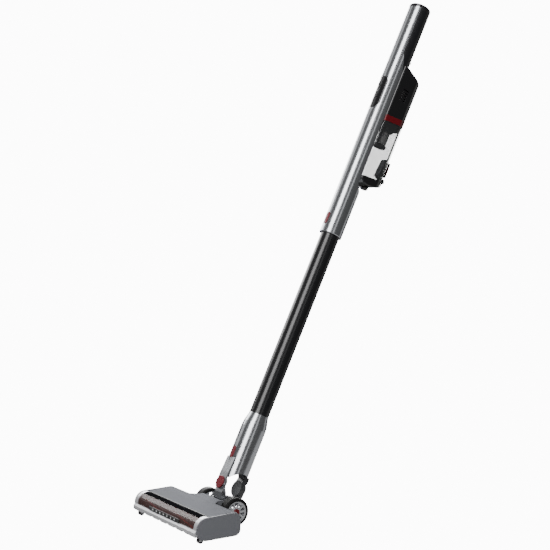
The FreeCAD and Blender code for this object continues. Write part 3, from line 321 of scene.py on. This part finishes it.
def frameAt(spot, outward, along):  # a place whose Z runs along and whose X points outward
    side = along.cross(outward)
    return Matrix.Translation(spot) @ Matrix((outward, side, along)).transposed().to_4x4()


def middleOf(name):
    low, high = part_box(name)
    return (Vector(low) + Vector(high)) / 2


def halfOf(name):
    low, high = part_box(name)
    return (Vector(high) - Vector(low)) / 2


def lathe(name, finish, profile, place, node, steps=64):  # a closed profile turned about Z
    shape = bmesh.new()
    ring = [[shape.verts.new((radius * math.cos(math.tau * step / steps),
                              radius * math.sin(math.tau * step / steps), along))
             for step in range(steps)] for along, radius in profile]
    for one, two in zip(ring, ring[1:] + ring[:1]):
        for step in range(steps):
            after = (step + 1) % steps
            shape.faces.new((one[step], one[after], two[after], two[step]))
    bmesh.ops.recalc_face_normals(shape, faces=shape.faces)
    return settle(name, shape, finish, place, node, smooth=True)


brush = {"rows": 6, "pitch": 0.0026, "twist": 1.9, "tuftLength": 0.0042, "tuftFoot": 0.0013,
         "tuftTip": 0.0011, "endGap": 0.002, "gap": 0.0001, "sleeveProud": 0.0004,
         "sleeveWall": 0.001, "ripple": 0.00035, "ripples": 70}


def makeBrush():  # a ribbed sleeve with twisted rows of bristle tufts
    middle, half = middleOf("brush_fibre"), halfOf("brush_fibre")
    foot = half.z - brush["gap"] - brush["tuftLength"]
    long = half.x * 2
    place = frameAt(middle - across * half.x, Vector((0, 1, 0)), across)
    count = int((long - 2 * brush["endGap"]) / brush["pitch"])

    def tuft(maker):
        cone = maker.node("GeometryNodeMeshCone", Vertices=6, Radius_Top=brush["tuftTip"],
                          Radius_Bottom=brush["tuftFoot"], Depth=brush["tuftLength"])
        return maker.node("GeometryNodeTransform", Geometry=cone,
                          Rotation=(0, math.pi / 2, 0))

    rows = [{"Count": count, "Radius": foot, "Rise": brush["pitch"],
             "Turn": brush["twist"] / count, "Start": math.tau * row / brush["rows"]}
            for row in range(brush["rows"])]
    tufts = growRows("bristleRows", tuft, "bristleRed", rows,
                     place @ Matrix.Translation((0, 0, brush["endGap"])), "brush_fibre")
    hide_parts("brush_fibre")
    outer = [(long * step / brush["ripples"],
              foot + brush["sleeveProud"] + brush["ripple"] * (step % 2))
             for step in range(brush["ripples"] + 1)]
    bore = min(halfOf("brush_core").z, foot - brush["sleeveWall"]) + brush["gap"]
    sleeve = lathe("brushSleeve", "sleeveDark", outer + [(long, bore), (0, bore)], place,
                   "brush_fibre")
    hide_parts("brush_fibre")


def domeStub(look):  # a flattened bead, bulging along +X
    def dome(maker):
        ball = maker.node("GeometryNodeMeshUVSphere", Segments=look["segments"],
                          Rings=look["rings"], Radius=look["radius"])
        return maker.node("GeometryNodeTransform", Geometry=ball, Scale=(look["bulge"], 1, 1))
    return dome


lamps = {"count": 7, "radius": 0.0018, "bulge": 0.35, "segments": 16, "rings": 8,
         "spread": 0.72, "sunk": 0.0001}


def makeLamps():
    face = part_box("led_module")[0].y + lamps["sunk"]
    middle = middleOf("led_module")
    pitch = halfOf("led_module").x * 2 * lamps["spread"] / (lamps["count"] - 1)
    spot = Vector((middle.x - pitch * (lamps["count"] - 1) / 2, face, middle.z))
    growRows("lampLenses", domeStub(lamps), "lampLens",
             [{"Count": lamps["count"], "Rise": pitch}],
             frameAt(spot, Vector((0, -1, 0)), across), "led_module")


pleats = {"count": 44, "depth": 0.0022, "thick": 0.001, "proud": 0.0006, "endGap": 0.0004}


def makePleats():  # thin blades standing out all round the filter
    points = [vertex.co for vertex in nodes["filter_element"].data.vertices]
    heights = [point.dot(up) for point in points]
    middle = middleOf("filter_element")
    radius = max((point - middle - up * (point - middle).dot(up)).length for point in points)
    low, tall = min(heights), max(heights) - min(heights)

    def blade(maker):
        slab = maker.node("GeometryNodeMeshCube", Size=(pleats["depth"], pleats["thick"],
                                                        tall - pleats["endGap"]))
        return maker.node("GeometryNodeTransform", Geometry=slab,
                          Translation=(-pleats["depth"] / 2, 0, tall / 2))

    growRows("filterPleats", blade, "filterFabric",
             [{"Count": pleats["count"], "Radius": radius + pleats["proud"],
               "Turn": math.tau / pleats["count"]}],
             frameAt(middle + up * (low - middle.dot(up)), across, up), "filter_element")


dots = {"count": 3, "radius": 0.0008, "bulge": 0.2, "segments": 14, "rings": 6,
        "pitch": 0.0034}


def makeDots():  # the charge dots, on the panel between its two keys
    front = max(-vertex.co.dot(under) for vertex in nodes["display_panel"].data.vertices)
    keys = [middleOf(name).dot(up) for name in ("power_button", "mode_button")]
    level = sum(keys) / 2 - dots["pitch"] * (dots["count"] - 1) / 2
    middle = middleOf("display_panel")
    spot = middle + up * (level - middle.dot(up)) + under * (-front - middle.dot(under))
    spot.x = 0
    growRows("chargeDots", domeStub(dots), "lampLens",
             [{"Count": dots["count"], "Rise": dots["pitch"]}],
             frameAt(spot, -under, up), "display_panel")


makeBrush()
makeLamps()
makePleats()
makeDots()


# Camera, floor and lights

view = {"azimuth": 55.75, "elevation": 2.94, "distance": 2.185, "roll": 0.49,
        "target": (0.0, 0.1205, 0.4663), "focal": 1120.3, "frameSize": 550}


def placeCamera():
    data = bpy.data.cameras.new("camera")
    data.sensor_width = 36
    data.lens = view["focal"] / view["frameSize"] * 36
    data.clip_start = 0.05
    camera = bpy.data.objects.new("camera", data)
    bpy.context.scene.collection.objects.link(camera)
    turn, rise = math.radians(view["azimuth"]), math.radians(view["elevation"])
    back = Vector((math.sin(turn) * math.cos(rise), -math.cos(turn) * math.cos(rise),
                   math.sin(rise)))
    target = Vector((0, wheelAxis.y, floorLevel)) + Vector(view["target"])
    camera.location = target + back * view["distance"]
    right = Vector((0, 0, 1)).cross(back).normalized()
    basis = Matrix((right, back.cross(right), back)).transposed().to_4x4()
    camera.matrix_world = (Matrix.Translation(camera.location) @ basis
                           @ Matrix.Rotation(math.radians(view["roll"]), 4, "Z"))
    bpy.context.scene.camera = camera
    return back, right


back, right = placeCamera()

stage = {"reach": 14.0, "drop": 0.28, "light": 12.0, "bounceReach": 1.1, "bounce": 0.7,
         "bounceAhead": 0.25, "bounceRise": 0.001, "backWide": 2.5, "backTall": 6.0,
         "backAhead": 0.2, "backAway": 5.0}


def glowingSheet(name, corners, light):
    finish = Finish(name)
    finish.set(Base_Color=(0, 0, 0, 1), Roughness=0.9, Specular_IOR_Level=0.0,
               Emission_Color=(1, 1, 1, 1), Emission_Strength=light)
    mesh = bpy.data.meshes.new(name)
    mesh.from_pydata([tuple(corner) for corner in corners], [], [(0, 1, 2, 3)])
    mesh.materials.append(finish.material)
    sheet = bpy.data.objects.new(name, mesh)
    bpy.context.scene.collection.objects.link(sheet)
    return sheet


def square(middle, reach):
    return [middle + Vector((x * reach, y * reach, 0))
            for x, y in ((-1, -1), (1, -1), (1, 1), (-1, 1))]


def makeStage():
    level = floorLevel - stage["drop"]  # clear of the head in every pose
    floor = glowingSheet("floor", square(Vector((0, 0, level)), stage["reach"]),
                         stage["light"])
    floor.visible_glossy = False  # its glow is seen, and lights nothing
    floor.visible_diffuse = False
    middle = Vector((0, wheelAxis.y + stage["bounceAhead"], level + stage["bounceRise"]))
    bounce = glowingSheet("bounce", square(middle, stage["bounceReach"]), stage["bounce"])
    bounce.visible_camera = False  # only mirrored, by what faces down
    bounce.visible_diffuse = False
    away = -Vector((back.x, back.y, 0)).normalized()
    middle = Vector((0, wheelAxis.y + stage["backAhead"], floorLevel))
    middle += away * stage["backAway"]
    side, tall = right * stage["backWide"], Vector((0, 0, stage["backTall"]))
    glowingSheet("backdrop", [middle - side, middle + side, middle + side + tall,
                              middle - side + tall], stage["light"])


softboxes = {  # turn to the camera's right, width in degrees, brightness, distance, length
    "keyBox": (-31, 30, 9.0, 2.3, 2.4),
    "stripBox": (16, 10, 1.2, 2.3, 2.4),
    "fillBox": (-105, 30, 0.9, 2.3, 2.2),
    "sideBox": (108, 24, 0.5, 2.3, 2.2),
}
aim = {"up": 0.6, "lean": 0.245, "out": 0.97}  # their aim on the stick, and their bearing
topBox = {"facing": (-0.83, -0.05, 0.56), "away": 2.0, "wide": 1.3, "long": 0.7, "light": 7.0}


def areaLamp(name, wide, long, radiance, spot, turn):
    data = bpy.data.lights.new(name, "AREA")
    data.shape = "RECTANGLE"
    data.size, data.size_y = wide, long
    data.energy = radiance * math.pi * wide * long
    lamp = bpy.data.objects.new(name, data)
    lamp.matrix_world = Matrix.Translation(spot) @ turn.to_4x4()
    lamp.visible_camera = False
    bpy.context.scene.collection.objects.link(lamp)


def placeLamps():
    middle = Vector((0, wheelAxis.y, wheelAxis.z)) + up * aim["up"]
    toCamera = (back - up * back.dot(up)).normalized()
    toRight = up.cross(toCamera)
    for name, (turn, wide, radiance, away, long) in softboxes.items():  # along the stick
        angle = math.radians(turn)
        facing = toCamera * math.cos(angle) + toRight * math.sin(angle)
        areaLamp(name, 2 * away * math.tan(math.radians(wide / 2)), long, radiance,
                 middle + (up * aim["lean"] + facing * aim["out"]) * away,
                 Matrix((up.cross(facing), up, facing)).transposed())
    facing = Vector(topBox["facing"]).normalized()  # this one is mirrored by the brush window
    areaLamp("topBox", topBox["wide"], topBox["long"], topBox["light"],
             middleOf("brush_window") + facing * topBox["away"],
             facing.to_track_quat("Z", "Y").to_matrix())


room = {"light": 0.1, "sky": 12.0}  # what surfaces mirror, and what the camera sees


def makeWorld():
    world = bpy.data.worlds.new("studio")
    world.use_nodes = True
    sky = Tree(world.node_tree)
    seen = sky.node("ShaderNodeLightPath", output="Is Camera Ray")
    backing = world.node_tree.nodes["Background"]
    backing.inputs["Color"].default_value = (1, 1, 1, 1)
    feed(sky.tree, backing.inputs["Strength"],
         seen * (room["sky"] - room["light"]) + room["light"])
    bpy.context.scene.world = world


makeStage()
placeLamps()
makeWorld()
print("camera, floor and lights placed")
